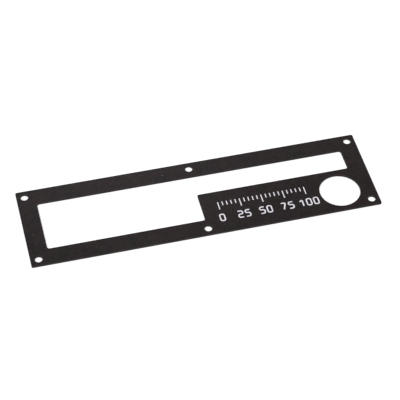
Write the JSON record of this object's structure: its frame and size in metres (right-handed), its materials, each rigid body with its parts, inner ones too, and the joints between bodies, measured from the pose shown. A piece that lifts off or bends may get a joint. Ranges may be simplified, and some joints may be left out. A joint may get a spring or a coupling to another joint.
{
  "type": "drive bay bezel",
  "caption": "Flat black drive bay bezel: a thin sheet plate with an L-shaped sight window, a round filler port and plain screw holes, screwed over the front of a bay-mounted tank.",
  "frame": {"origin": "middle of the back face, which the plate lies on", "axes": "+X along the length towards the port, +Y across the plate towards the window's arm, +Z out of the front face"},
  "size_m": [0.149, 0.0412, 0.001],
  "materials": {
    "black_anodised": "satin black anodised",
    "pale_print": "matte screen print"
  },
  "bodies": {
    "root": {"bezel_plate": "black_anodised"}
  },
  "joints": []
}
